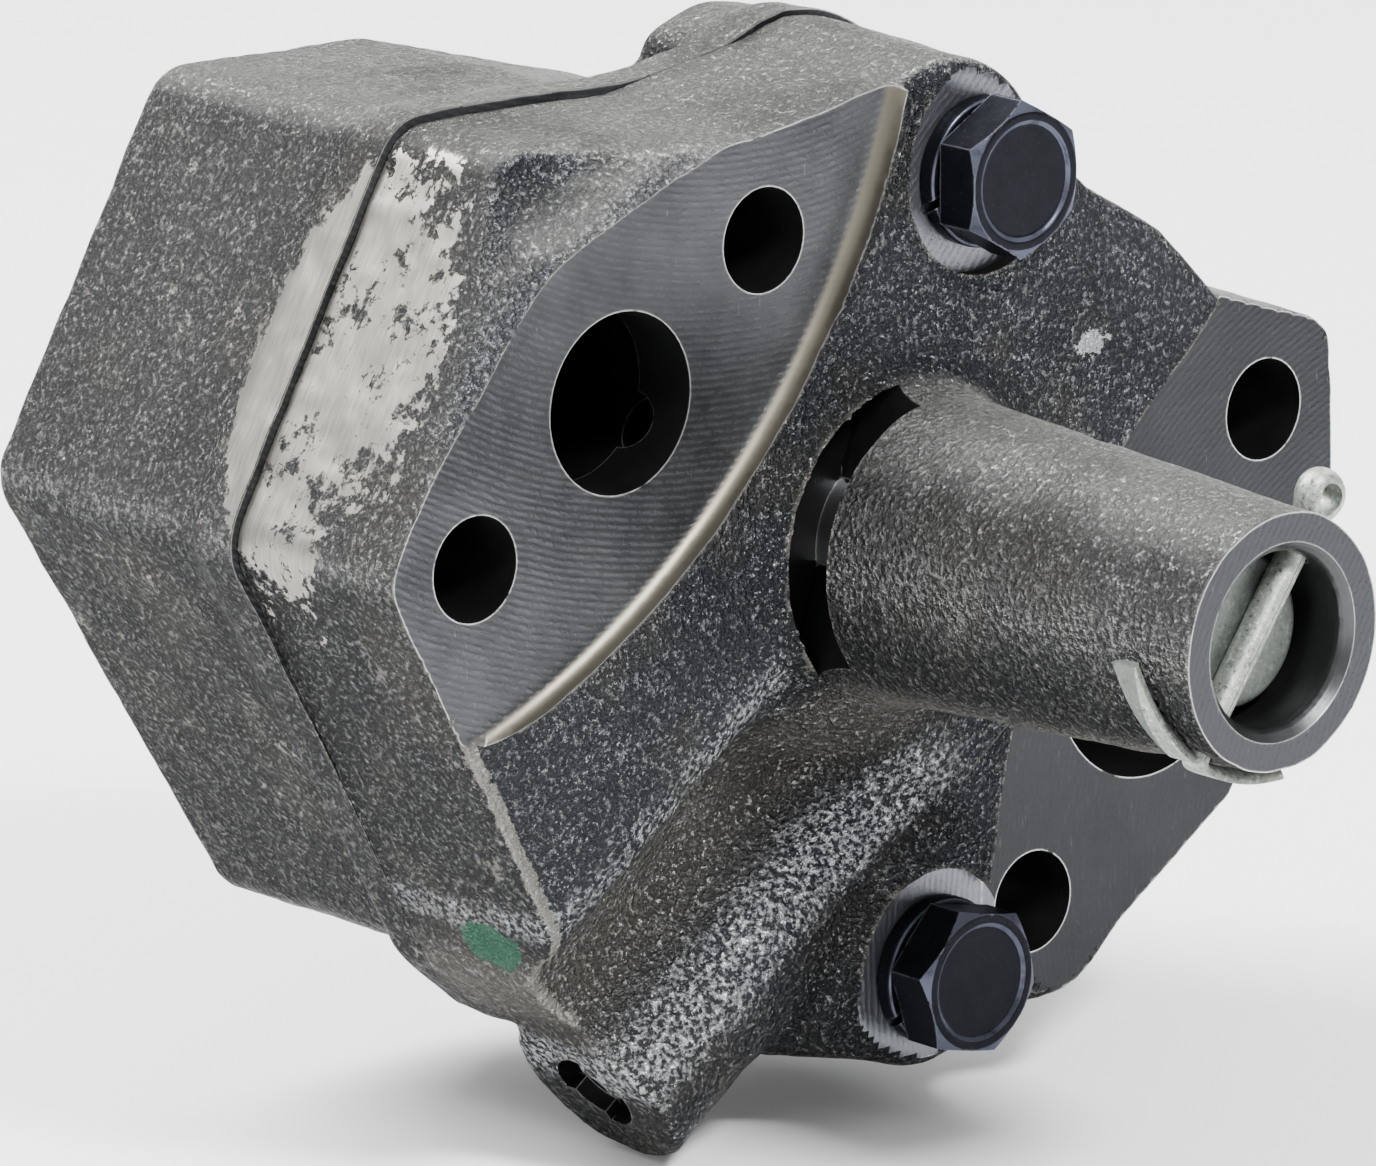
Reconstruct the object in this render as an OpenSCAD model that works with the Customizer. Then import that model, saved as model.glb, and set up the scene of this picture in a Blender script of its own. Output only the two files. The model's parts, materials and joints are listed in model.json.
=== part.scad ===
// Hydraulic gear pump: cast body, ported front cover with a built-in relief valve.
// The pump's axis runs along Y. The front, with the ports and the valve tube, faces -Y,
// the mounting face at the back lies on y = 0, and +Z is up. The origin is on the drive
// shaft's axis. Inside the modules, x and z are first taken from the valve tube's axis.

/* [Casting] */
// Depth of the body from the mounting face to the parting face
body_depth = 44.5; // [44:0.5:48]
// Thickness of the body's two bolt ears
ear_thick = 16.5; // [14:0.5:18]
// Thickness of the rim round the body's parting face
body_rim = 7; // [6:0.5:9]
// Thickness of the cover at its outer rim
rim_thick = 16.5; // [15:0.5:17]
// Thickness of the cover from the parting face to the port flanges
cover_thick = 26.5; // [26:0.5:28]
// Height of the cast face above the port flanges
cast_rise = 2.6; // [2:0.2:3]

/* [Relief valve] */
// Length of the valve tube beyond the port flanges
tube_len = 67; // [66:0.5:70]
// Radius of the tube at its tip
tube_tip_r = 15.4; // [15:0.1:16]
// Radius of the tube at its root
tube_root_r = 19.4; // [19:0.1:20]
// Radius of the valve bore
valve_bore_r = 10.7; // [10.6:0.05:10.8]
// Distance of the split pin from the tube's tip
pin_setback = 5; // [4.5:0.5:6]

/* [Ports] */
// Radius of the delivery port, at the left
delivery_r = 11; // [10:0.5:11.5]
// Radius of the suction port, at the right
suction_r = 15.5; // [15:0.5:16]
// Radius of the flange bolt holes
flange_hole_r = 6.4; // [6.2:0.1:6.6]

/* [Gears] */
// Number of teeth on each gear
teeth = 11; // [11:1:11]
// Gear module
gear_mod = 3; // [3:0.02:3.04]
// Width of the gears
gear_width = 33.9; // [33:0.1:33.9]
// Radius of both gear shafts
shaft_r = 7.5; // [7.4:0.05:7.6]
// Radius of the drive shaft behind the mounting face
stub_r = 7; // [6.8:0.1:7.2]
// Length of the drive shaft behind the mounting face
shaft_out = 30; // [26:1:34]

/* [Fasteners] */
// Distance across the flats of the bolt heads
head_flats = 17; // [16:0.5:17]
// Height of the bolt heads
head_height = 6.4; // [6:0.2:6.8]
// Radius of the bolt shanks
bolt_r = 5; // [4.8:0.1:5]

/* [Hidden] */
$fn = 64;
eps = 0.01;

// Faces along the axis: distance in front of the mounting face
part_y = body_depth;
rim_y = part_y + rim_thick;
flange_y = part_y + cover_thick;
cast_y = flange_y + cast_rise;
tip_y = flange_y + tube_len;
seat_y = flange_y + 0.6;
ear_y = body_depth - ear_thick;

// Gears: their axes lie on a line square to the line through the ports
gear_line = 62;
pitch_r = gear_mod * teeth / 2;
tip_r = pitch_r + gear_mod * 0.98;
root_r = pitch_r - gear_mod * 1.2;
chamber_gap = 0.1;
side_gap = 0.05;
chamber_floor = part_y - gear_width - 2 * side_gap;
drive_xz = [pitch_r * cos(gear_line), pitch_r * sin(gear_line)];
idler_xz = -drive_xz;
shaft_gap = 0.03;
bush_wall = 2;
bush_r = shaft_r + bush_wall;
bush_depth = 10;
rear_bush_len = 8;
idler_bush_r = shaft_r + 1.8;
key_w = 4;
woodruff_r = 5;
ring_thick = 1;
ring_r = 8.6;
counterbore = [10.2, 2];

// Ports and their bolt holes: centre, direction of the bolt line, half its length
delivery = [-43, 23.5];
delivery_line = [35.4, 27.9];
suction = [44.4, -22.6];
suction_line = [55, 34.1];
port_lip = 9;
delivery_room_r = 13.5;
chamber_depth = 30;

// Cover bolts, in x and z
upper_bolt = [13.6, 43.3];
lower_bolt = [7.2, -55.3];
washer_thick = 2.5;
washer_r = 9.2;
bolt_len = 40;
bolt_gap = 0.3;
thread_end_y = ear_y + 4;
dowel_r = 6.2;
dowel_len = 14;

// Milled arcs that bound the flanges on the cast face: centre and radius
left_mill = [-100.7, 85.4, 105.8];
right_mill = [96.7, -49.5, 81];

// Passage boss at the lower left
boss_end = [-35.3, -65.7];
boss_dir = 36.7;
boss_y = 57.5;
boss_r = 12.2;
boss_len = 62;
passage_r = 4;
plug_r = 5.6;
plug_seat = 3.5;

// Relief valve
bore_floor_y = part_y + 13.6;
window_y = [flange_y + 3, flange_y + 9.5];
window_dir = 168;
window_chord = 6.5;
nose_r = 6;
nose_len = 8;
piston_len = 38;
piston_r = valve_bore_r - 0.05;
piston_wall = 1.8;
piston_floor = 4;
piston_y = bore_floor_y + 0.1;
pin_y = tip_y - pin_setback;
pin_dir = 54;
pin_r = 1.9;
pin_hole_r = 2.1;
seat_disc_y = pin_y - pin_r - 4.05;
seat_disc_thick = 4;
wire_r = 0.9;
coil_r = 7.2;
coil_turns = 9;
coil_steps = 14;
wire_sides = 6;

module at_shaft() { translate([-drive_xz[0], 0, -drive_xz[1]]) children(); }
// Extrudes an x-z outline forward (towards -Y) from y = -start, through len
module forward(start, len) {
    translate([0, -start, 0]) rotate([90, 0, 0]) linear_extrude(len) children();
}
// A round bar along Y, from y = -start forward through len
module bar(xz, start, len, r1, r2 = undef) {
    translate([xz[0], -start, xz[1]]) rotate([90, 0, 0])
        cylinder(h = len, r1 = r1, r2 = is_undef(r2) ? r1 : r2);
}
function polar(centre, angle, r) = centre + r * [cos(angle), sin(angle)];
delivery_holes = [for (s = [-1, 1]) polar(delivery, delivery_line[0], s * delivery_line[1])];
suction_holes = [for (s = [-1, 1]) polar(suction, suction_line[0], s * suction_line[1])];

/* ---- castings ---- */
module disc(xz, r) { translate(xz) circle(r); }
module outline() {
    offset(r = -5) offset(r = 5) {
        offset(r = 7, $fn = 40) offset(delta = -7)
            polygon([[-80.6, 7.5], [-54, 54.2], [-22, 53.4], [9, 58.2], [24, 48], [34, 39],
                     [46.5, 32], [56, 22.3], [62, 20.4], [77, 15.5], [77.4, -6], [60, -44],
                     [34, -61.5], [7, -68], [-20, -64.3], [-41, -57.8], [-50.5, -49.5]]);
        disc([11, 44.2], 13.8);
        disc(suction_holes[0], 14.2);
        disc(lower_bolt, 12.8);
    }
}
// The body's bolt ears: the outline without its lower left and upper left stretches
module ear_outline() {
    intersection() {
        outline();
        polygon([[-14, 45], [-3, 53], [2, 60], [100, 60], [100, -80], [-6, -80], [-16, -55]]);
    }
}
module deep_outline() {
    offset(r = 7, $fn = 40) offset(delta = -7)
        polygon([[-80.6, 7.5], [-54, 54.2], [-22, 53.4], [14, 43.6], [36, 28], [52, 4],
                 [42, -42], [27, -36], [4, -50], [-20, -61], [-45.5, -49.5]]);
    disc(suction, suction_r + 5.5);
}
// The port flanges: milled flat, bounded outside by the cover's edge and this valley
module flange_pads() {
    hull() {
        disc(delivery_holes[0], 12.2);
        disc(delivery, 20.4);
    }
    hull() {
        disc(delivery, 20.4);
        disc(delivery_holes[1], 13.6);
    }
    hull() {
        disc(delivery_holes[1], 13.6);
        disc([-4, 53], 3.5);
    }
}
module valley() {
    difference() {
        polygon([[-90, 11], [-62, 70], [-4, 70], [-4, 55], [-20, 30], [-60, 0], [-76, 9]]);
        flange_pads();
    }
}
module gear_room() {
    for (xz = [drive_xz, idler_xz])
        bar(xz, chamber_floor, part_y - chamber_floor + eps, tip_r + chamber_gap);
    // Suction and delivery rooms beside the mesh, joined to it by a straight channel
    for (room = [[suction, suction_r - 1], [delivery, delivery_room_r]]) {
        bar(room[0], part_y - chamber_depth, chamber_depth + eps, room[1]);
        translate([0, -part_y + chamber_depth, 0]) rotate([90, 0, 0])
            linear_extrude(chamber_depth + eps)
                rotate(atan2(room[0][1], room[0][0])) translate([0, -7]) square([45, 14]);
    }
}
module pump_body() {
    color("dimgray") at_shaft() difference() {
        union() {
            forward(0, part_y) deep_outline();
            forward(part_y - body_rim, body_rim) outline();
            forward(ear_y, ear_thick) ear_outline();
        }
        gear_room();
        bar(drive_xz, -eps, part_y, bush_r);
        bar(idler_xz, 3, part_y, shaft_r);
        for (xz = concat(delivery_holes, suction_holes))
            bar(xz, -eps, part_y + 1, flange_hole_r);
        for (xz = [upper_bolt, lower_bolt]) {
            bar(xz, thread_end_y, part_y, bolt_r);
            bar(xz, part_y - dowel_len / 2, dowel_len, dowel_r);
        }
    }
}
module valve_tube() {
    bar([0, 0], flange_y - 2, tube_len + 2, tube_root_r, tube_tip_r);
    bar([0, 0], flange_y - 2, 8, tube_root_r + 6, tube_root_r - 0.5);
}
module front_cover() {
    color("dimgray") at_shaft() difference() {
        union() {
            forward(part_y, rim_thick) outline();
            forward(rim_y - eps, cover_thick - rim_thick + eps) difference() {
                offset(delta = -1) outline();
                valley();
            }
            forward(flange_y - eps, cast_rise) difference() {
                offset(delta = -1) outline();
                valley();
                disc([left_mill[0], left_mill[1]], left_mill[2]);
                disc([right_mill[0], right_mill[1]], right_mill[2]);
            }
            valve_tube();
            passage_boss();
        }
        cover_cuts();
    }
}
module passage_boss() {
    translate([boss_end[0], -boss_y, boss_end[1]]) rotate([0, 90 - boss_dir, 0])
        cylinder(h = boss_len, r = boss_r);
}
module cover_cuts() {
    // Delivery port: a short bore with a wider cast room behind it; suction port: straight
    bar(delivery, part_y - 1, cover_thick + 2, delivery_r);
    bar(delivery, part_y - 1, cover_thick - port_lip + 1, delivery_room_r);
    bar(suction, part_y - 1, cover_thick + 2 + cast_rise, suction_r);
    for (xz = concat(delivery_holes, suction_holes))
        bar(xz, part_y - 1, cover_thick + 2, flange_hole_r);
    // Bolt holes, their spot faces and the dowel counterbores
    for (xz = [upper_bolt, lower_bolt]) {
        bar(xz, part_y - 1, cover_thick + 2, bolt_r + bolt_gap);
        bar(xz, seat_y, 20, 12.5);
        bar(xz, part_y - dowel_len / 2, dowel_len, dowel_r);
    }
    // Shaft bearings
    bar(drive_xz, part_y - 1, bush_depth + 1, bush_r);
    bar(idler_xz, part_y - 1, bush_depth + 1, shaft_r + shaft_gap);
    // Relief valve bore, its feed from the delivery port and the relief window
    bar([0, 0], bore_floor_y, tip_y, valve_bore_r);
    bar([0, 0], tip_y - 1.2, 2, valve_bore_r - 0.4, valve_bore_r + 1.6);
    translate([delivery[0], -bore_floor_y - passage_r, delivery[1]])
        rotate([0, 90 + atan2(-delivery[1], -delivery[0]) * -1, 0])
            cylinder(h = norm(delivery) - 4, r = passage_r - 0.5);
    translate([0, -window_y[1], 0]) rotate([0, -window_dir, 0])
        translate([window_chord, 0, -25]) cube([30, window_y[1] - window_y[0], 50]);
    // Split pin hole, square to the axis near the tip
    translate([0, -pin_y, 0]) rotate([0, 90 - pin_dir, 0])
        cylinder(h = 50, r = pin_hole_r, center = true);
    // Passage drilled from the boss into the suction port, with a wider mouth for its plug
    translate([boss_end[0], -boss_y, boss_end[1]]) rotate([0, 90 - boss_dir, 0]) {
        translate([0, 0, -1]) cylinder(h = 84, r = passage_r);
        translate([0, 0, -1]) cylinder(h = 1 + plug_seat + 2 * plug_r, r = plug_r);
    }
}

/* ---- gears and shafts ---- */
function involute(base, t) = base * [cos(t) + t * PI / 180 * sin(t), sin(t) - t * PI / 180 * cos(t)];
function turn(p, a) = [p[0] * cos(a) - p[1] * sin(a), p[0] * sin(a) + p[1] * cos(a)];
// One flank as polar steps from the root to the tip, and its mirror image for the other side
pressure = 20;
base_r = pitch_r * cos(pressure);
flank_steps = 7;
backlash = 0.35;
function roll_at(r) = r <= base_r ? 0 : sqrt(pow(r / base_r, 2) - 1) * 180 / PI;
pitch_point = involute(base_r, roll_at(pitch_r));
half_tooth = 90 / teeth - backlash / pitch_r * 90 / PI;
lead = atan2(pitch_point[1], pitch_point[0]) + half_tooth;
function flank(side) =
    let (top = roll_at(tip_r),
         up = concat([[root_r, 0]], [for (i = [0:flank_steps]) involute(base_r, top * i / flank_steps)]),
         placed = [for (p = up) turn([p[0], p[1]], -lead)])
    side < 0 ? placed : [for (i = [len(placed) - 1:-1:0]) [placed[i][0], -placed[i][1]]];
module gear_outline() {
    polygon([for (k = [0:teeth - 1]) for (s = [-1, 1]) for (p = flank(s)) turn(p, 360 * k / teeth)]);
}
module gear_blank(xz, phase, bore) {
    forward(part_y - side_gap - gear_width, gear_width) difference() {
        translate(xz) rotate(phase) gear_outline();
        disc(xz, bore);
    }
}
key_top = shaft_r + 1.8;
module key_slot(clear) {
    translate([drive_xz[0] - key_w / 2 - clear, -part_y - 1, drive_xz[1] + shaft_r - 2])
        cube([key_w + 2 * clear, gear_width + 2, 2 + key_top - shaft_r + clear]);
}
module drive_gear() {
    color("slategray") at_shaft() difference() {
        gear_blank(drive_xz, gear_line, shaft_r);
        key_slot(0);
        bar(drive_xz, part_y - side_gap - counterbore[1], 5, counterbore[0]);
    }
}
module drive_gear_key() {
    color("silver") at_shaft()
        translate([drive_xz[0] - key_w / 2, -part_y + 5, drive_xz[1] + shaft_r - 2])
            cube([key_w, gear_width - 10, 2 + key_top - shaft_r]);
}
module drive_shaft() {
    color("lightsteelblue") at_shaft() difference() {
        union() {
            bar(drive_xz, 0, part_y + bush_depth - 0.5, shaft_r - shaft_gap);
            bar(drive_xz, 1 - shaft_out, shaft_out, stub_r);
            bar(drive_xz, -shaft_out, 1, stub_r - 1, stub_r);
            bar(drive_xz, chamber_floor + side_gap, gear_width, shaft_r);
        }
        translate([drive_xz[0] - key_w / 2, -part_y + 5, drive_xz[1] + shaft_r - 2])
            cube([key_w, gear_width - 10, 4]);
        difference() {
            bar(drive_xz, part_y - counterbore[1] + 0.2, ring_thick, shaft_r + 1);
            bar(drive_xz, part_y - counterbore[1], 3, shaft_r - 0.7);
        }
        woodruff_disc();
    }
}
module woodruff_disc() {
    translate([drive_xz[0] - key_w / 2, shaft_out - woodruff_r - 3, drive_xz[1] + stub_r + 1.4])
        rotate([0, 90, 0]) cylinder(h = key_w, r = woodruff_r);
}
module drive_gear_ring() {
    color("black") at_shaft() difference() {
        bar(drive_xz, part_y - counterbore[1] + 0.2, ring_thick, ring_r);
        bar(drive_xz, part_y - counterbore[1], 3, shaft_r - 0.7);
        translate([drive_xz[0] - 1.5, -part_y, drive_xz[1] - 12]) cube([3, 5, 10]);
    }
}
module bush(xz, start, len, inner, outer) {
    difference() {
        bar(xz, start, len, outer);
        bar(xz, start - 1, len + 2, inner);
    }
}
module drive_bush_rear() {
    color("darkgoldenrod") at_shaft() bush(drive_xz, 1, rear_bush_len, shaft_r, bush_r);
}
module drive_bush_front() {
    color("darkgoldenrod") at_shaft()
        bush(drive_xz, part_y + 0.2, bush_depth - 0.4, shaft_r, bush_r);
}
module idler_shaft() {
    color("lightsteelblue") at_shaft() bar(idler_xz, 3, part_y - 3 + bush_depth - 0.5, shaft_r);
}
module idler_gear() {
    color("slategray") at_shaft()
        gear_blank(idler_xz, gear_line + 180 + 180 / teeth, idler_bush_r);
}
module idler_gear_bush() {
    color("darkgoldenrod") at_shaft() bush(idler_xz, chamber_floor + side_gap + 0.2,
        gear_width - 0.4, shaft_r + shaft_gap, idler_bush_r);
}

/* ---- relief valve ---- */
module relief_piston() {
    body_y = piston_y + nose_len;
    color("silver") at_shaft() difference() {
        union() {
            bar([0, 0], piston_y, nose_len + 1, nose_r);
            bar([0, 0], body_y, piston_len - nose_len, piston_r);
        }
        bar([0, 0], body_y + piston_floor, piston_len, piston_r - piston_wall);
    }
}
// The spring's end coils lie closed, one wire beside the next
spring_start = piston_y + nose_len + piston_floor + wire_r + 0.03;
spring_end = seat_disc_y - wire_r - 0.03;
closed = 2.1 * wire_r;
function coil_at(i) = let (n = coil_turns * coil_steps, u = i / n,
    rest = 1 / coil_turns, v = min(1, max(0, (u - rest) / (1 - 2 * rest))))
    [360 * coil_turns * u, spring_start + (spring_end - spring_start - 2 * closed) * v
        + closed * (min(u, rest) / rest + 1 - min(1 - u, rest) / rest)];
spring_points = [for (i = [0:coil_turns * coil_steps]) for (s = [0:wire_sides - 1])
    let (c = coil_at(i), a = 360 * s / wire_sides, r = coil_r + wire_r * cos(a))
    [r * cos(c[0]), -c[1] + wire_r * sin(a), r * sin(c[0])]];
spring_faces = concat(
    [[for (s = [0:wire_sides - 1]) s]],
    [[for (s = [wire_sides - 1:-1:0]) coil_turns * coil_steps * wire_sides + s]],
    [for (i = [0:coil_turns * coil_steps - 1]) for (s = [0:wire_sides - 1])
        let (a = i * wire_sides, n = (s + 1) % wire_sides)
        [a + s, a + wire_sides + s, a + wire_sides + n, a + n]]);
module relief_spring() {
    color("silver") at_shaft() polyhedron(spring_points, spring_faces);
}
module spring_seat() {
    color("gainsboro") at_shaft() difference() {
        bar([0, 0], seat_disc_y, seat_disc_thick, piston_r - 0.1);
        bar([0, 0], seat_disc_y - 1, 2.5, coil_r - wire_r - 1.2);
    }
}
// Bends a leg of the split pin round the outside of the tube, from angle a0 to a1
module pin_leg(a0, a1) {
    steps = 6;
    for (i = [0:steps - 1]) hull() for (k = [i, i + 1]) {
        a = a0 + (a1 - a0) * k / steps;
        slide = (a1 < a0 ? 4.2 : 0.6) * k / steps;
        r = tube_tip_r + 2.1 + slide * 0.06;
        translate([r * cos(a), -pin_y + slide, r * sin(a)]) sphere(1.25, $fn = 16);
    }
}
module cotter_pin() {
    exit_dir = pin_dir + 180;
    eye_c = tube_tip_r + 4.6;
    color("gainsboro") at_shaft() {
        translate([0, -pin_y, 0]) rotate([0, 90 - pin_dir, 0]) {
            translate([0, 0, -tube_tip_r - 1.6])
                cylinder(h = 2 * tube_tip_r + 4, r = pin_r);
            translate([0, 0, eye_c]) rotate([90, 0, 0])
                rotate_extrude($fn = 40) translate([2.6, 0]) circle(1.3, $fn = 20);
        }
        pin_leg(exit_dir, exit_dir - 46);
        pin_leg(exit_dir, exit_dir + 46);
    }
}

/* ---- plug and fasteners ---- */
module passage_plug() {
    color("silver") at_shaft() translate([boss_end[0], -boss_y, boss_end[1]])
        rotate([0, 90 - boss_dir, 0]) translate([0, 0, plug_seat + plug_r])
            sphere(plug_r);
}
module hex_bolt(xz, twist) {
    head_y = seat_y + washer_thick;
    at_shaft() {
        bar(xz, head_y - bolt_len, bolt_len + 1, bolt_r);
        intersection() {
            translate([xz[0], -head_y, xz[1]]) rotate([90, 0, 0]) rotate(twist)
                cylinder(h = head_height, r = head_flats / 2 / cos(30), $fn = 6);
            bar(xz, head_y - 1, head_height + 1, head_flats / 2 / cos(30) + 4,
                head_flats / 2 - 0.4);
        }
    }
}
module upper_cover_bolt() { color([0.1, 0.1, 0.11]) hex_bolt(upper_bolt, 22); }
module lower_cover_bolt() { color([0.1, 0.1, 0.11]) hex_bolt(lower_bolt, 8); }
module lock_washer(xz, split) {
    at_shaft() difference() {
        bar(xz, seat_y, washer_thick, washer_r);
        bar(xz, seat_y - 1, washer_thick + 2, bolt_r + 0.3);
        translate([xz[0], -seat_y - 5, xz[1]]) rotate([0, -split, 0])
            translate([0, 0, -0.6]) cube([15, 10, 1.2]);
    }
}
module upper_lock_washer() { color([0.12, 0.12, 0.13]) lock_washer(upper_bolt, 200); }
module lower_lock_washer() { color([0.12, 0.12, 0.13]) lock_washer(lower_bolt, 215); }
module locating_dowels() {
    color("silver") at_shaft() for (xz = [upper_bolt, lower_bolt])
        bush(xz, part_y - dowel_len / 2 + 0.2, dowel_len - 0.4, bolt_r + 0.25, dowel_r);
}

pump_body();
front_cover();
drive_shaft();
drive_gear();
drive_gear_key();
drive_gear_ring();
drive_bush_rear();
drive_bush_front();
idler_shaft();
idler_gear();
idler_gear_bush();
relief_piston();
relief_spring();
spring_seat();
cotter_pin();
passage_plug();
upper_cover_bolt();
lower_cover_bolt();
upper_lock_washer();
lower_lock_washer();
locating_dowels();
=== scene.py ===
import json
import math
import bpy
import numpy as np
from mathutils import Matrix, Vector


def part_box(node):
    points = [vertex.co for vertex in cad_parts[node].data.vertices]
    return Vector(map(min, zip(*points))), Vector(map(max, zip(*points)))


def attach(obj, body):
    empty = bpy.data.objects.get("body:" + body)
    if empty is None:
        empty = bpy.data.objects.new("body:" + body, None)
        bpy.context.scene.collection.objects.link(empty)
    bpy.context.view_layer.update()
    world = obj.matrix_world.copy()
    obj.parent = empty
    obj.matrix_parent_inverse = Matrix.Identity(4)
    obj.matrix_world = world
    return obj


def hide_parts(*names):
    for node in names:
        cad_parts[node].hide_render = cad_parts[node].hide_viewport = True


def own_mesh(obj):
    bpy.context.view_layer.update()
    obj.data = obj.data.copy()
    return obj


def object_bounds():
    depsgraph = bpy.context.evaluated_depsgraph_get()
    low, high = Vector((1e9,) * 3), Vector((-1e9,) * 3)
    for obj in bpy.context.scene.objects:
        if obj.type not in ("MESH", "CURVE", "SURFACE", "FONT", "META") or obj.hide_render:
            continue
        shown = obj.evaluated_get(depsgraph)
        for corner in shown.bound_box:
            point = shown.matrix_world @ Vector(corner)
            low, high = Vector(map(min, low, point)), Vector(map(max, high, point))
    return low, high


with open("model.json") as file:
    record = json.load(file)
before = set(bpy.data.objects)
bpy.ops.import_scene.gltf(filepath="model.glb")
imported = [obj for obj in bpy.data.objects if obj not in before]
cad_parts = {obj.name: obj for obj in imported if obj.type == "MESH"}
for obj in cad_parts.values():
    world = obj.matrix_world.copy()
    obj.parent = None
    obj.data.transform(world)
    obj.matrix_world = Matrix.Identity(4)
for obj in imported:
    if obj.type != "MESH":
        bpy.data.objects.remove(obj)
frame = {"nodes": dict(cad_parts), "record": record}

cad_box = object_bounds()
MM = 0.001

# ---------------------------------------------------------------- the frame
# Shapes are built in millimetres about the valve tube's axis: x to the right, z up, and f
# forward from the mounting face. The tube's axis and the faces come from the CAD nodes.
piston_low, piston_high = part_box("relief_piston")
AXIS_X = (piston_low[0] + piston_high[0]) / 2 / MM
AXIS_Z = (piston_low[2] + piston_high[2]) / 2 / MM
PART = -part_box("pump_body")[0][1] / MM
TIP = -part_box("front_cover")[0][1] / MM
DRIVE = (-AXIS_X, -AXIS_Z)
IDLER = (AXIS_X, AXIS_Z)
RIM = PART + 16.5
FLANGE = PART + 26.5
CAST = FLANGE + 2.6
SEAT = FLANGE + 0.6
EAR = PART - 16.5
BODY_RIM = 7
PAD_FOOT = 2.6
COVER_DRAFT, BODY_DRAFT = 0.045, 0.04       # how much the cast walls lean in for each mm


def polar(centre, degrees, r):
    a = math.radians(degrees)
    return (centre[0] + r * math.cos(a), centre[1] + r * math.sin(a))


DELIVERY, SUCTION = (-43, 23.5), (44.4, -22.6)
DELIVERY_R, DELIVERY_ROOM_R, SUCTION_R, HOLE_R = 11, 13.5, 15.5, 6.4
L1, L2 = polar(DELIVERY, 35.4, -27.9), polar(DELIVERY, 35.4, 27.9)
R2, R1 = polar(SUCTION, 55, -34.1), polar(SUCTION, 55, 34.1)
UPPER, LOWER = (13.6, 43.3), (7.2, -55.3)
BOLT_R, TAP_R, SPOT_R, DOWEL_R, DOWEL_DEEP = 5.3, 5, 12.5, 6.2, 7
BUSH_R, IDLER_R, IDLER_SEAT_R, SHAFT_DEEP = 9.5, 7.5, 7.53, 10
LEFT_MILL, LEFT_MILL_R = (-100.7, 85.4), 105.8
RIGHT_MILL, RIGHT_MILL_R = (96.7, -49.5), 81
BOSS_END, BOSS_DIR, BOSS_F, BOSS_R = (-35.3, -65.7), 36.7, 57.5, 12.2
PASSAGE_R, PLUG_R, LOBE_R, LOBE_OFF = 4, 5.6, 3.9, 4.6
BOSS_LONG, PASSAGE_LONG, PLUG_DEEP, LOBE_DEEP = 62, 83, 14.7, 2.4
PLATEAU_N, PLATEAU_U = 31, 52               # the high plateau's sides, across and along the boss
TUBE_ROOT_R, TUBE_TIP_R, BORE_R, BORE_FLOOR = 19.4, 15.4, 10.7, PART + 13.6
PIN_F, PIN_DIR, PIN_HOLE_R = TIP - 5, 54, 2.1
WINDOW_DIR, WINDOW_CHORD, WINDOW_R = 160, 9.5, 20.4
FEED_R, FEED_UP = 3.5, 17.6
GEAR_TIP_R = 19.54
CHAMBER, ROOM_FLOOR, ROOM_TOP = PART - 34, PART - 30, FLANGE - 9
CHANNEL_HALF, CHANNEL_LONG = 7, 45
FEED_MARKS, TURN_MARKS, GROUND_MARKS = 0.92, 0.5, 0.4     # from one tool mark to the next
OUTLINE = [(-80.6, 7.5), (-54, 54.2), (-22, 53.4), (9, 58.2), (24, 48), (34, 39), (46.5, 32),
           (56, 22.3), (62, 20.4), (77, 15.5), (77.4, -6), (60, -44), (34, -61.5), (7, -68),
           (-20, -64.3), (-41, -57.8), (-50.5, -49.5)]
DEEP = [(-80.6, 7.5), (-54, 54.2), (-22, 53.4), (14, 43.6), (36, 28), (52, 4), (42, -42),
        (27, -36), (4, -50), (-20, -61), (-45.5, -49.5)]
VALLEY = [(-90, 11), (-62, 70), (-4, 70), (-4, 55), (-20, 30), (-60, 0), (-76, 9)]
EARS_SIDE = [(-14, 45), (-3, 53), (2, 64), (100, 64), (100, -80), (-6, -80), (-16, -55)]
CORNER_R = 7


# ---------------------------------------------------------------- distance fields
def inset(points, r):
    """The polygon with every side moved in by r."""
    area = sum(a[0] * b[1] - b[0] * a[1] for a, b in zip(points, points[1:] + points[:1]))
    turn = 1 if area > 0 else -1
    moved = []
    for before, here, after in zip(points[-1:] + points[:-1], points, points[1:] + points[:1]):
        d1 = Vector(here) - Vector(before)
        d2 = Vector(after) - Vector(here)
        n1 = Vector((-d1.y, d1.x)).normalized() * turn
        n2 = Vector((-d2.y, d2.x)).normalized() * turn
        moved.append(tuple(Vector(here) + (n1 + n2) * r / (1 + n1.dot(n2))))
    return moved


def polygon(points, x, z):
    nearest, inside = np.inf, False
    for (ax, az), (bx, bz) in zip(points, points[1:] + points[:1]):
        ex, ez = bx - ax, bz - az
        wx, wz = x - ax, z - az
        t = np.clip((wx * ex + wz * ez) / (ex * ex + ez * ez), 0, 1)
        nearest = np.minimum(nearest, (wx - ex * t) ** 2 + (wz - ez * t) ** 2)
        inside = inside ^ (((az > z) != (bz > z)) & (wx < ex * wz / (ez or 1e-9)))
    return np.where(inside, -1, 1) * np.sqrt(nearest)


def rounded(points, r, x, z):
    return polygon(inset(points, r), x, z) - r


def disc(c, r, x, z):
    return np.hypot(x - c[0], z - c[1]) - r


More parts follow.
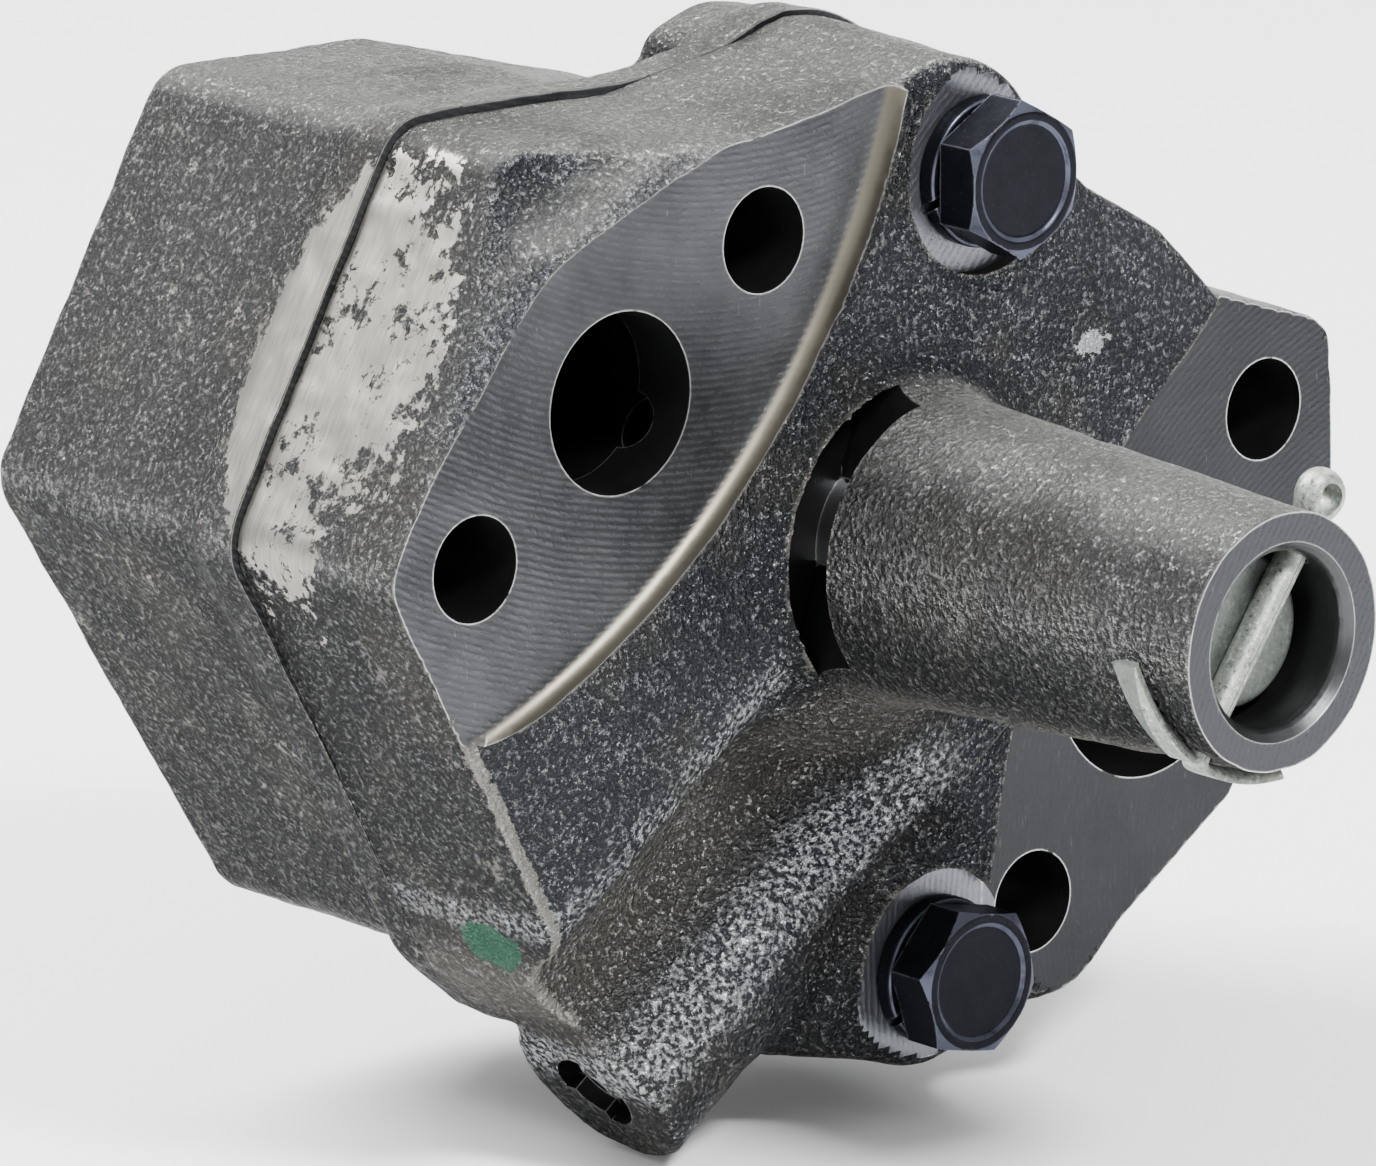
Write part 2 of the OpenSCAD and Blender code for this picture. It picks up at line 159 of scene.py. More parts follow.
def two_discs(c1, r1, c2, r2, x, z):
    """The hull of two discs."""
    dx, dz = c2[0] - c1[0], c2[1] - c1[1]
    length = math.hypot(dx, dz)
    u = ((x - c1[0]) * dx + (z - c1[1]) * dz) / length
    v = np.abs((x - c1[0]) * dz - (z - c1[1]) * dx) / length
    b = (r1 - r2) / length
    a = math.sqrt(1 - b * b)
    k = -b * v + a * u
    side = a * v + b * u - r1
    beyond = np.where(k > a * length, np.hypot(u - length, v) - r2, side)
    return np.where(k < 0, np.hypot(u, v) - r1, beyond)


def join(a, b, k):
    """Union with a fillet of about k."""
    h = np.clip(0.5 + 0.5 * (b - a) / k, 0, 1)
    return b * (1 - h) + a * h - k * h * (1 - h)


def meet(a, b, r):
    """Intersection with an edge of radius r."""
    outside = np.hypot(np.maximum(a + r, 0), np.maximum(b + r, 0))
    return np.minimum(np.maximum(a, b) + r, 0) + outside - r


LATTICE = np.random.default_rng(7).random((32, 32, 32)).astype(np.float32)


def noise(x, y, z, size):
    """Smooth noise from -1 to 1 with bumps of about that size."""
    parts = []
    for v in (x, y, z):
        w = v / size + 100.0
        i = np.floor(w).astype(int)
        t = (w - i).astype(np.float32)
        parts.append((i, t * t * (3 - 2 * t)))
    (i, u), (j, v), (k, w) = parts
    total = 0
    for a in (0, 1):
        for b in (0, 1):
            for c in (0, 1):
                share = (u if a else 1 - u) * (v if b else 1 - v) * (w if c else 1 - w)
                total = total + share * LATTICE[(i + a) % 32, (j + b) % 32, (k + c) % 32]
    return total * 2 - 1


# What a surface is, which is also its material slot on a casting
AS_CAST, MILLED, BORED = 0, 1, 2


class Solid:
    """A distance field, with the kind of the surface that is nearest to each point."""
    def __init__(self, d):
        self.d = d
        self.tag = AS_CAST

    def cut(self, d, tag):
        self.tag = np.where(-d > self.d, tag, self.tag)
        self.d = np.maximum(self.d, -d)


def outline(x, z):
    """The joint's outline: the polygon, with an ear round three of the holes."""
    base = rounded(OUTLINE, CORNER_R, x, z)
    for centre, r in (((11, 44.2), 13.8), (R2, 14.2), (LOWER, 12.8)):
        base = join(base, disc(centre, r, x, z), 4)
    return base


def left_pads(x, z):
    """The left flange's outline, a chain of discs of these sizes."""
    chain = ((L1, 12.2), (DELIVERY, 19.2), (L2, 13.6), ((-2, 53), 4))
    hulls = [two_discs(*a, *b, x, z) for a, b in zip(chain, chain[1:])]
    return np.minimum(np.minimum(hulls[0], hulls[1]), hulls[2])


def boss_frame(x, z):
    """Distance along the boss from its end, and across it."""
    c, s = math.cos(math.radians(BOSS_DIR)), math.sin(math.radians(BOSS_DIR))
    px, pz = x - BOSS_END[0], z - BOSS_END[1]
    return px * c + pz * s, -px * s + pz * c


def hole(centre, r, x, z, f, low=-1e3, high=1e3, mouth=None, bevel=0.5):
    """A round hole from low to high, with a small chamfer where it opens at mouth."""
    spread = 0 if mouth is None else np.clip(f - mouth + bevel, 0, 2 * bevel)
    return np.maximum(disc(centre, r, x, z) - spread, np.maximum(low - f, f - high))


def pebbled(cast, x, y, z):
    """The surface as the sand left it: shallow waves with smaller bumps on them."""
    return cast + 0.16 * noise(x, y, z, 5) + 0.07 * noise(x + 40, y, z, 1.9)


def toward(centre, x, z):
    """Distances along the line from the tube's axis to a point, and across it, and its length."""
    length = math.hypot(*centre)
    return ((x * centre[0] + z * centre[1]) / length, (x * centre[1] - z * centre[0]) / length,
            length)


def cover(x, y, z):
    f = -y
    plan = outline(x, z)
    wall = plan + COVER_DRAFT * (f - PART)
    u, n = boss_frame(x, z)
    pads = left_pads(x, z)
    valley = np.maximum(polygon(VALLEY, x, z), -pads)
    # The high plateau, which lies beyond the boss and round the tube and the lower bolt
    high = join(PLATEAU_N - n, PLATEAU_U - u, 12)
    high = join(high, disc((0, 0), 22, x, z), 8)
    high = join(high, disc(LOWER, 13.5, x, z), 5)
    high = meet(high, -valley, 1)
    top = CAST - 2.9 * np.clip(1 + plan / 14, 0, 1) ** 2
    # Its shoulder spreads 0.6 mm for each mm down, which 0.857 turns back into a distance
    plateau = meet((high - 0.6 * (CAST - f)) * 0.857, f - top, 4)
    # From the pads down to the rim, a slope that gets shallower
    away = np.clip(1 - pads / PAD_FOOT, 0, 1.3)
    rise = (FLANGE - RIM) * away ** 2
    steep = 2 * (FLANGE - RIM) / PAD_FOOT * away
    pad = np.maximum((f - RIM - rise) / np.sqrt(1 + steep * steep),
                     np.maximum(pads - PAD_FOOT, f - CAST))
    radius = TUBE_ROOT_R - (f - FLANGE) * (TUBE_ROOT_R - TUBE_TIP_R) / (TIP - FLANGE)
    tube = np.maximum(np.hypot(x, z) - radius, PART + 2 - f)
    crown = np.maximum(np.hypot(n, f - BOSS_F) - BOSS_R, u - BOSS_LONG)
    front = join(join(join(f - RIM, plateau, 7), pad, 1.5), crown, np.where(n > 0, 7, 3))
    front = join(front, tube, 7)
    cast = meet(front, wall, 1.1)
    cast = join(cast, meet(crown, -u, 1.8), 1.5)
    solid = Solid(pebbled(np.minimum(cast, tube), x, y, z))
    # Machined faces
    solid.cut(TIP - f, MILLED)
    solid.cut(meet(disc(LEFT_MILL, LEFT_MILL_R, x, z), FLANGE - f, 2.3), MILLED)
    solid.cut(np.maximum(disc(RIGHT_MILL, RIGHT_MILL_R, x, z), FLANGE - f), MILLED)
    for bolt in (UPPER, LOWER):
        solid.cut(np.maximum(disc(bolt, SPOT_R, x, z), SEAT - f), MILLED)
    solid.cut(f - PART, MILLED)
    # Ports and bolt holes
    solid.cut(hole(DELIVERY, DELIVERY_R, x, z, f), BORED)
    solid.cut(hole(DELIVERY, DELIVERY_ROOM_R, x, z, f, high=ROOM_TOP), BORED)
    solid.cut(hole(SUCTION, SUCTION_R, x, z, f), BORED)
    for centre in (L1, L2, R1, R2):
        solid.cut(hole(centre, HOLE_R, x, z, f), BORED)
    for bolt in (UPPER, LOWER):
        solid.cut(hole(bolt, BOLT_R, x, z, f), BORED)
        solid.cut(hole(bolt, DOWEL_R, x, z, f, high=PART + DOWEL_DEEP), BORED)
    solid.cut(hole(DRIVE, BUSH_R, x, z, f, high=PART + SHAFT_DEEP), BORED)
    solid.cut(hole(IDLER, IDLER_SEAT_R, x, z, f, high=PART + SHAFT_DEEP), BORED)
    # Relief valve
    solid.cut(hole((0, 0), BORE_R, x, z, f, low=BORE_FLOOR, mouth=TIP, bevel=1.2), BORED)
    a = math.radians(WINDOW_DIR)
    window = np.maximum(WINDOW_CHORD - x * math.cos(a) - z * math.sin(a),
                        np.hypot(x, z) - WINDOW_R)
    solid.cut(np.maximum(window, np.maximum(FLANGE - 1 - f, f - FLANGE - 9.5)), BORED)
    a = math.radians(PIN_DIR)
    solid.cut(np.hypot(-x * math.sin(a) + z * math.cos(a), f - PIN_F) - PIN_HOLE_R, BORED)
    along, across, length = toward(DELIVERY, x, z)
    solid.cut(np.maximum(np.hypot(across, f - PART - FEED_UP) - FEED_R,
                         np.maximum(4 - along, along - length)), BORED)
    # Passage in the boss
    solid.cut(np.maximum(np.hypot(n, f - BOSS_F) - PASSAGE_R, u - PASSAGE_LONG), BORED)
    # The plug's seat, and the two lobes staked over it
    h = f - BOSS_F
    lobes = np.minimum(np.hypot(n - LOBE_OFF, h - LOBE_OFF),
                       np.hypot(n + LOBE_OFF, h + LOBE_OFF)) - LOBE_R
    seat = np.maximum(np.hypot(n, h) - PLUG_R, u - PLUG_DEEP)
    solid.cut(np.maximum(seat, -np.maximum(lobes, u - LOBE_DEEP)), BORED)
    return solid


def body(x, y, z):
    f = -y
    plan = outline(x, z)
    deep = np.minimum(rounded(DEEP, CORNER_R, x, z), disc(SUCTION, SUCTION_R + 5.5, x, z))
    # The case starts behind the mounting face, so that the face is milled all over
    case = meet(deep, -1.5 - f, 2.2)
    rim = meet(plan + BODY_DRAFT * (PART - f), PART - BODY_RIM - f, 1.8)
    ears = meet(plan, polygon(EARS_SIDE, x, z), 3)
    ears = meet(ears + BODY_DRAFT * (PART - f), EAR - f, 1.8)
    cast = join(case, join(rim, ears, 3), 4.5)
    solid = Solid(pebbled(cast, x, y, z))
    solid.cut(f, MILLED)
    solid.cut(PART - f, MILLED)
    for centre in (DRIVE, IDLER):
        solid.cut(hole(centre, GEAR_TIP_R, x, z, f, low=CHAMBER), BORED)
    for centre, r in ((SUCTION, SUCTION_R - 1), (DELIVERY, DELIVERY_ROOM_R)):
        solid.cut(hole(centre, r, x, z, f, low=ROOM_FLOOR), BORED)
        along, across, _ = toward(centre, x, z)
        channel = np.maximum(np.abs(across) - CHANNEL_HALF,
                             np.maximum(-along, along - CHANNEL_LONG))
        solid.cut(np.maximum(channel, ROOM_FLOOR - f), BORED)
    solid.cut(hole(DRIVE, BUSH_R, x, z, f), BORED)
    solid.cut(hole(IDLER, IDLER_R, x, z, f, low=3), BORED)
    for centre in (L1, L2, R1, R2):
        solid.cut(hole(centre, HOLE_R, x, z, f), BORED)
    for bolt in (UPPER, LOWER):
        solid.cut(hole(bolt, TAP_R, x, z, f, low=EAR + 4), BORED)
        solid.cut(hole(bolt, DOWEL_R, x, z, f, low=PART - DOWEL_DEEP), BORED)
    return solid


# ---------------------------------------------------------------- from field to mesh
def contour(field, low, high, cell):
    """Dual contouring: one vertex in each cell that the surface crosses, placed so that sharp
    edges stay sharp. Returns the vertices, the quads, and how convex the surface is at each
    vertex."""
    axes = [np.arange(low[i], high[i] + cell, cell) for i in range(3)]
    x, y, z = axes[0][:, None, None], axes[1][None, :, None], axes[2][None, None, :]
    values = field(x, y, z).d
    shape = values.shape
    inside = values < 0
    points, cells, flips = [], [], []
    for axis in range(3):
        here = [slice(None)] * 3
        there = [slice(None)] * 3
        here[axis], there[axis] = slice(None, -1), slice(1, None)
        index = np.array(np.nonzero(inside[tuple(here)] != inside[tuple(there)])).T
        start = np.stack([axes[i][index[:, i]] for i in range(3)], 1)
        step = np.zeros(3)
        step[axis] = cell
        a, b = np.zeros(len(index)), np.ones(len(index))
        inside_start = inside[tuple(index.T)]
        for _ in range(9):      # halving the step to where the surface crosses it
            middle = (a + b) / 2
            p = start + middle[:, None] * step
            same = (field(p[:, 0], p[:, 1], p[:, 2]).d < 0) == inside_start
            a, b = np.where(same, middle, a), np.where(same, b, middle)
        points.append(start + ((a + b) / 2)[:, None] * step)
        o1, o2 = [i for i in range(3) if i != axis]
        around = []
        for d1, d2 in ((-1, -1), (0, -1), (0, 0), (-1, 0)):
            c = index.copy()
            c[:, o1] += d1
            c[:, o2] += d2
            around.append(np.ravel_multi_index(c.T, shape, mode="clip"))
        cells.append(np.stack(around, 1))
        flips.append(inside_start if axis != 1 else ~inside_start)
    points, cells, flips = np.concatenate(points), np.concatenate(cells), np.concatenate(flips)
    reach = 0.02
    change = []
    for axis in range(3):
        ahead, behind = points.copy(), points.copy()
        ahead[:, axis] += reach
        behind[:, axis] -= reach
        change.append(field(*ahead.T).d - field(*behind.T).d)
    normal = np.stack(change, 1)
    normal /= np.linalg.norm(normal, axis=1, keepdims=True) + 1e-12
    used, which = np.unique(cells, return_inverse=True)
    which = which.reshape(cells.shape)
    count = np.bincount(which.ravel(), minlength=len(used))

    def gather(v):
        return np.bincount(which.ravel(), weights=np.repeat(v, 4), minlength=len(used))
    mean = np.stack([gather(points[:, i]) for i in range(3)], 1) / count[:, None]
    mean_normal = np.stack([gather(normal[:, i]) for i in range(3)], 1)
    mean_normal /= np.linalg.norm(mean_normal, axis=1, keepdims=True) + 1e-12
    square = np.empty((len(used), 3, 3))
    for i in range(3):
        for j in range(3):
            square[:, i, j] = gather(normal[:, i] * normal[:, j])
    offset = (points * normal).sum(1)
    right = np.stack([gather(offset * normal[:, i]) for i in range(3)], 1)
    right -= np.einsum("nij,nj->ni", square, mean)
    size, axes_of = np.linalg.eigh(square)
    keep = size > 0.08 * size[:, -1:]
    inverse = np.where(keep, 1 / np.where(keep, size, 1), 0)
    shift = np.einsum("nij,nj,nkj,nk->ni", axes_of, inverse, axes_of, right)
    corner = np.stack(np.unravel_index(used, shape), 1) * cell
    corner = corner + np.array([axes[i][0] for i in range(3)])
    vertices = np.clip(mean + shift, corner - 0.05 * cell, corner + 1.05 * cell)
    convex = ((vertices - mean) * mean_normal).sum(1) / cell
    quads = np.where(flips[:, None], which[:, ::1], which[:, ::-1])
    return vertices, quads, convex


def build(name, field, low, high, cell, materials, rim=None):
    """Meshes a field and makes it an object. With several materials, each face takes that of
    its surface. rim, if there is one, gives each vertex its nearness to a worn rim."""
    vertices, quads, convex = contour(field, low, high, cell)
    mesh = bpy.data.meshes.new(name)
    placed = (vertices + np.array([AXIS_X, 0, AXIS_Z])) * MM
    mesh.from_pydata(placed.tolist(), [], quads.tolist())
    for material in materials:
        mesh.materials.append(material)
    if len(materials) > 1:
        c = vertices[quads].mean(1)
        tag = np.broadcast_to(field(*c.T).tag, len(c))
        mesh.polygons.foreach_set("material_index", np.asarray(tag, np.int32))
    layer = mesh.attributes.new("edge", "FLOAT", "POINT")
    layer.data.foreach_set("value", np.clip(convex * 4, 0, 1).astype(np.float32))
    if rim:
        layer = mesh.attributes.new("rim", "FLOAT", "POINT")
        layer.data.foreach_set("value", rim(*vertices.T).astype(np.float32))
    mesh.validate()
    mesh.polygons.foreach_set("use_smooth", [True] * len(mesh.polygons))
    mesh.set_sharp_from_angle(angle=math.radians(38))
    obj = bpy.data.objects.new(name, mesh)
    bpy.context.collection.objects.link(obj)
    print(name, len(mesh.polygons), "faces")
    return obj


# ---------------------------------------------------------------- materials
class Paint:
    """A node material: each call adds a node and returns its output."""
    def __init__(self, name):
        self.material = bpy.data.materials.new(name)
        self.material.use_nodes = True
        self.tree = self.material.node_tree
        self.shader = self.tree.nodes["Principled BSDF"]

    def link(self, value, socket):
        if isinstance(value, bpy.types.NodeSocket):
            self.tree.links.new(value, socket)
        elif value is not None:
            socket.default_value = value

    def node(self, kind, out=0, settings=None, **inputs):
        node = self.tree.nodes.new("ShaderNode" + kind)
        for key, value in (settings or {}).items():
            setattr(node, key, value)
        for key, value in inputs.items():
            self.link(value, node.inputs[key.replace("_", " ")])
        return node.outputs[out]

    def math(self, operation, a, b=None, c=None, clamp=False):
        node = self.tree.nodes.new("ShaderNodeMath")
        node.operation = operation
        node.use_clamp = clamp
        for i, value in enumerate((a, b, c)):
            self.link(value, node.inputs[i])
        return node.outputs[0]

    def fade(self, value, low, high, out_low=0.0, out_high=1.0):
        """value from low to high becomes out_low to out_high, with soft ends."""
        return self.node("MapRange", settings={"interpolation_type": "SMOOTHSTEP"}, Value=value,
                         From_Min=low, From_Max=high, To_Min=out_low, To_Max=out_high)

    def mix(self, share, a, b):
        node = self.tree.nodes.new("ShaderNodeMix")
        node.data_type = "RGBA"
        self.link(share, node.inputs[0])
        for value, i in ((a, 6), (b, 7)):
            self.link((*value, 1) if isinstance(value, tuple) else value, node.inputs[i])
        return node.outputs[2]

    def times(self, a, b):
        return self.math("MULTIPLY", a, b)

    def plus(self, a, b):
        return self.math("ADD", a, b)

    def minus(self, a, b):
        return self.math("SUBTRACT", a, b)

    def over(self, base, mask, strength, tone):
        """base with that much of tone laid over it where the mask is 1."""
        return self.mix(self.times(mask, strength), base, tone)

    def place(self):
        """x, f and z in millimetres about the valve tube's axis, and the vector of them."""
        raw = self.tree.nodes.new("ShaderNodeTexCoord").outputs["Object"]
        scaled = self.node("VectorMath", settings={"operation": "MULTIPLY_ADD"})
        node = scaled.node
        self.link(raw, node.inputs[0])
        node.inputs[1].default_value = (1 / MM, -1 / MM, 1 / MM)
        node.inputs[2].default_value = (-AXIS_X, 0, -AXIS_Z)
        split = self.tree.nodes.new("ShaderNodeSeparateXYZ")
        self.tree.links.new(scaled, split.inputs[0])
        return split.outputs[0], split.outputs[1], split.outputs[2], scaled

    def noise(self, vector, scale, detail=2.0, rough=0.5, stretch=None, shift=0):
        if stretch or shift:
            moved = self.node("VectorMath", settings={"operation": "MULTIPLY_ADD"})
            self.link(vector, moved.node.inputs[0])
            moved.node.inputs[1].default_value = stretch or (1, 1, 1)
            moved.node.inputs[2].default_value = (shift, shift, shift)
            vector = moved
        return self.node("TexNoise", Vector=vector, Scale=scale, Detail=detail, Roughness=rough)

    def far(self, x, z, centre):
        dx, dz = self.minus(x, centre[0]), self.minus(z, centre[1])
        return self.math("SQRT", self.plus(self.times(dx, dx), self.times(dz, dz)))

    def bump(self, height, distance, strength):
        node = self.tree.nodes.new("ShaderNodeBump")
        self.link(height, node.inputs["Height"])
        node.inputs["Distance"].default_value = distance * MM
        node.inputs["Strength"].default_value = strength
        return node.outputs[0]

    def finish(self, colour, roughness, normal=None, metallic=1.0, **fixed):
        colour = (*colour, 1) if isinstance(colour, tuple) else colour
        self.link(colour, self.shader.inputs["Base Color"])
        self.link(roughness, self.shader.inputs["Roughness"])
        self.link(metallic, self.shader.inputs["Metallic"])
        self.link(normal, self.shader.inputs["Normal"])
        for key, value in fixed.items():
            self.shader.inputs[key.replace("_", " ")].default_value = value
        return self.material


def slope(paint):
    """The surface's own normal, split into x, y and z."""
    geometry = paint.tree.nodes.new("ShaderNodeNewGeometry")
    split = paint.tree.nodes.new("ShaderNodeSeparateXYZ")
    paint.tree.links.new(geometry.outputs["Normal"], split.inputs[0])
    return split.outputs


def edge_line(paint, width):
    """1 along the convex edges, in a line of about that width in millimetres."""
    geometry = paint.tree.nodes.new("ShaderNodeNewGeometry")
    soft = paint.tree.nodes.new("ShaderNodeBevel")
    soft.samples = 6
    soft.inputs["Radius"].default_value = width * MM
    turn = paint.node("VectorMath", 1, {"operation": "DOT_PRODUCT"})
    paint.link(geometry.outputs["Normal"], turn.node.inputs[0])
    paint.link(soft.outputs[0], turn.node.inputs[1])
    edge = paint.node("Attribute", out=2, settings={"attribute_name": "edge"})
    return paint.times(paint.fade(paint.minus(1, turn), 0.02, 0.12),
                      paint.fade(edge, 0.0, 0.15))


def edge_wear_and_highlight(paint, vector, amount, width):
    """Bright metal along convex edges, worn bare and partly a painted edge highlight, broken up by
    noise; amount 1 leaves no gaps.
    """
    start = 0.62 - 0.35 * amount
    gaps = paint.fade(paint.noise(vector, 0.35, 4, 0.65, shift=61), start, start + 0.10)
    return paint.times(edge_line(paint, width), gaps)


def total(paint, *values):
    """The sum of some values, each either a socket or a pair of a socket and a factor."""
    result = 0
    for value in values:
        if isinstance(value, tuple):
            value = paint.times(*value)
        result = paint.plus(result, value)
    return result


def largest(paint, first, *others):
    for other in others:
        first = paint.math("MAXIMUM", first, other)
    return first


def spot(paint, x, f, z, centre, radii, ragged, spread):
    """1 inside an oval blob round a point, with a ragged border."""
    shares = [paint.math("DIVIDE", paint.minus(v, c), r)
              for v, c, r in zip((x, f, z), centre, radii)]
    squares = [paint.math("POWER", paint.math("ABSOLUTE", share), 2) for share in shares]
    reach = paint.math("SQRT", total(paint, *squares))
    return paint.fade(total(paint, reach, (ragged, spread)), 1.03, 0.97)


def boss_place(paint, x, z):
    """Distance along the boss from its end, and across it, as sockets."""
    c, s = math.cos(math.radians(BOSS_DIR)), math.sin(math.radians(BOSS_DIR))
    return (total(paint, (x, c), (z, s), -BOSS_END[0] * c - BOSS_END[1] * s),
            total(paint, (x, -s), (z, c), BOSS_END[0] * s - BOSS_END[1] * c))


def band(paint, value, centre, half):
    """1 at the centre, fading to 0 at that distance from it."""
    return paint.fade(paint.math("ABSOLUTE", paint.minus(value, centre)), half, half * 0.3)


def cast_iron(name, on_body):
    """Shot-blasted cast iron: pebbly, dark in the hollows, worn bare in places, with painted glints
    and painted light and shade by which way each face looks.
    """
    paint = Paint(name)
    x, f, z, at = paint.place()
    nx, ny, nz = slope(paint)
    grain = paint.fade(paint.noise(at, 1.35, 3, 0.6), 0.36, 0.66)
    fine = paint.noise(at, 2.6, 3, 0.6, shift=15)
    lumps = paint.noise(at, 0.36, 3, 0.55, shift=31)
    patchy = paint.noise(at, 0.06, 4, 0.6, shift=11)
    # Painted shade: faces that look forward get the darker tone dark, the other faces the lighter
    # tone wall
    front = paint.fade(ny, -0.40, -0.85)
    dark = paint.mix(patchy, (0.038, 0.041, 0.048), (0.092, 0.095, 0.102))
    wall = paint.mix(patchy, (0.055, 0.056, 0.056), (0.125, 0.125, 0.122))
    base = paint.mix(front, wall, dark)
    # Painted shade: faces that look down are darkened
    base = paint.mix(paint.fade(nz, 0.15, -0.45, 0, 0.7), base, (0.038, 0.039, 0.040))
    # Painted light: faces that look up are lightened
    painted_top_light = paint.fade(nz, 0.55, 0.95)
    base = paint.over(base, painted_top_light, 0.85, (0.42, 0.42, 0.405))
    olive = paint.times(paint.fade(paint.noise(at, 0.045, 3, 0.6, shift=53), 0.50, 0.62), 0.4)
    base = paint.mix(olive, base, (0.105, 0.101, 0.086))
    if not on_body:
        u, n = boss_place(paint, x, z)
        # Painted light: a lighter band along the boss's flank
        painted_flank_light = paint.times(band(paint, n, 19, 11), paint.fade(u, 75, 45))
        base = paint.over(base, painted_flank_light, 0.75, (0.205, 0.198, 0.178))
    low_spots = paint.mix(grain, (0.008, 0.008, 0.010), base)
    base = paint.mix(0.62, base, low_spots)
    # Painted highlight: the grain's peaks are lightened
    base = paint.over(base, paint.fade(grain, 0.6, 1.0), 0.16, (0.35, 0.35, 0.35))
    # Painted glints: light specks mixed into the colour, more of them on faces that look forward
    glint = paint.fade(paint.noise(at, 2.0, 3, 0.65, shift=77), 0.58, 0.66)
    share = paint.fade(paint.noise(at, 0.16, 3, 0.6, shift=41), 0.35, 0.62, 0.15, 0.7)
    share = paint.times(share, paint.fade(front, 0, 1, 0.45, 1))
    if not on_body:
        # The boss's crown and the plateau's shoulder get a painted highlight band, with painted
        # glints in it
        painted_crown_highlight = largest(paint, band(paint, n, 5.2, 6.5), paint.times(band(paint, n, 33, 3.5), 0.6))
        painted_crown_highlight = paint.times(painted_crown_highlight, paint.fade(u, 62, 48))
        painted_crown_highlight = paint.times(painted_crown_highlight, paint.fade(paint.far(x, z, (0, 0)), 21, 25))
        share = total(paint, share, (painted_crown_highlight, 0.75))
        glint = largest(paint, glint, paint.times(painted_crown_highlight, paint.fade(grain, 0.15, 0.85)))
        share = paint.math("MINIMUM", share, 1.0)
    glint = paint.times(glint, share)
    colour = paint.mix(glint, base, (0.50, 0.51, 0.53))
    # Bare, worn metal on the left walls beside the joint, and along the edges, where it is partly a
    # painted edge highlight
    blotch = paint.minus(paint.noise(at, 0.16, 6, 0.72, shift=5), 0.5)
    crumbs = paint.minus(paint.noise(at, 0.75, 4, 0.7, shift=9), 0.5)
    faces_left = paint.fade(nx, -0.5, -0.7)
    if on_body:
        ragged = total(paint, blotch, (crumbs, 0.3))
        bare = spot(paint, x, f, z, (-71, PART, 30), (40, 8.5, 19), ragged, 1.2)
        scattered = total(paint, paint.noise(at, 0.42, 6, 0.8, shift=3), (patchy, 0.25))
        scattered = paint.fade(scattered, 0.735, 0.765)
        bare = largest(paint, bare, paint.times(scattered, 0.8))
    else:
        ragged = total(paint, blotch, (crumbs, 0.5))
        bare = spot(paint, x, f, z, (-70, PART + 6.5, 28), (40, 13, 25), ragged, 2.0)
        holes = paint.fade(total(paint, blotch, (crumbs, 0.4)), 0.05, 0.10)
        bare = paint.times(bare, paint.minus(1, holes))
    bare = paint.times(bare, faces_left)
    wear_and_edge_highlight = edge_wear_and_highlight(paint, at, 0.55, 0.9)
    if not on_body:
        rim = paint.node("Attribute", out=2, settings={"attribute_name": "rim"})
        rim = paint.fade(total(paint, rim, (crumbs, 0.9), (blotch, 0.5)), 0.42, 0.52)
        rim = paint.times(rim, paint.times(paint.fade(x, -8, -18), paint.fade(z, 8, -6)))
        wear_and_edge_highlight = largest(paint, wear_and_edge_highlight, rim)
    streaks = paint.noise(at, 1.0, 3, 0.6, stretch=(0.25, 3.0, 0.25), shift=2)
    silver = paint.mix(streaks, (0.11, 0.108, 0.098), (0.36, 0.348, 0.315))
    shown = largest(paint, bare, paint.times(wear_and_edge_highlight, 0.8))
    colour = paint.mix(shown, colour, silver)
    if on_body:
        joint = paint.fade(total(paint, f, (crumbs, 0.4)), PART - 0.2, PART - 0.08)
    else:
        joint = paint.fade(total(paint, f, (crumbs, -0.4)), PART + 0.2, PART + 0.08)
        # A bright nick on the plateau, and a dab of green paint low on the left wall
        ragged = total(paint, crumbs, blotch)
        nick = spot(paint, x, f, z, (31.2, CAST, 19.2), (2.4, 4, 1.3), ragged, 3.5)
        colour = paint.over(colour, nick, 0.85, (0.55, 0.57, 0.58))
        dab = spot(paint, x, f, z, (-53.6, 59, -43.4), (6, 4.8, 3.2), ragged, 0.8)
        colour = paint.over(colour, dab, 0.85, (0.045, 0.125, 0.085))
    colour = paint.over(colour, joint, 0.92, (0.006, 0.006, 0.006))
    rough = total(paint, 0.28, (grain, -0.08), (fine, 0.16), (front, -0.03))
    rough = paint.node("MapRange", Value=shown, From_Min=0, From_Max=1, To_Min=rough, To_Max=0.40)
    depth = paint.math("SUBTRACT", 1, bare, clamp=True)
    height = paint.times(total(paint, (grain, 1.0), (fine, 0.3), (lumps, 1.2)), depth)
    height = total(paint, height, (bare, -0.12), (streaks, 0.03))
    return paint.finish(colour, rough, paint.bump(height, 0.95, 1.0), 0.85,
                        Specular_Tint=(0.35, 0.35, 0.35, 1))


